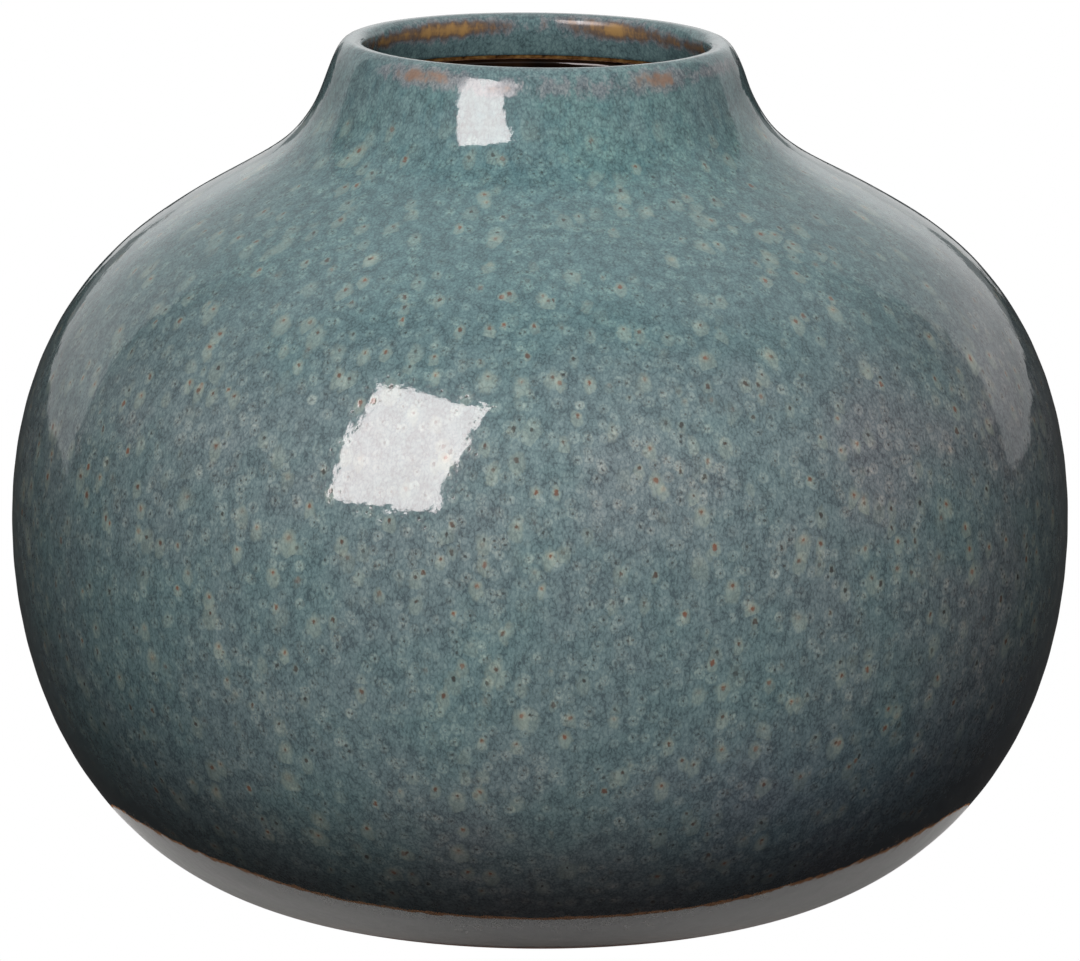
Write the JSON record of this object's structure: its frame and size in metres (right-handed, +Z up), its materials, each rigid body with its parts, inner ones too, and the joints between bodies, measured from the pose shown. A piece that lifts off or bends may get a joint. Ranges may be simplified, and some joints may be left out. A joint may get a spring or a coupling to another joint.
{
  "type": "flower vase",
  "caption": "Squat round-bellied stoneware flower vase with a short flared-in neck, rolled lip and low turned foot, glazed in mottled blue-green with a dark glossy inside.",
  "frame": {"origin": "centre of the foot ring's underside, on the plane the vase stands on", "axes": "+Z up along the vase's axis of revolution, out of the mouth; it is the same all round, so +X and +Y are free"},
  "size_m": [0.2004, 0.2004, 0.1645],
  "materials": {
    "clay": "matte",
    "undercoat": "gloss",
    "reactive": "gloss",
    "liner": "gloss"
  },
  "bodies": {
    "root": {"clay_body": "clay", "undercoat_glaze": "undercoat", "reactive_glaze": "reactive", "liner_glaze": "liner"}
  },
  "joints": []
}
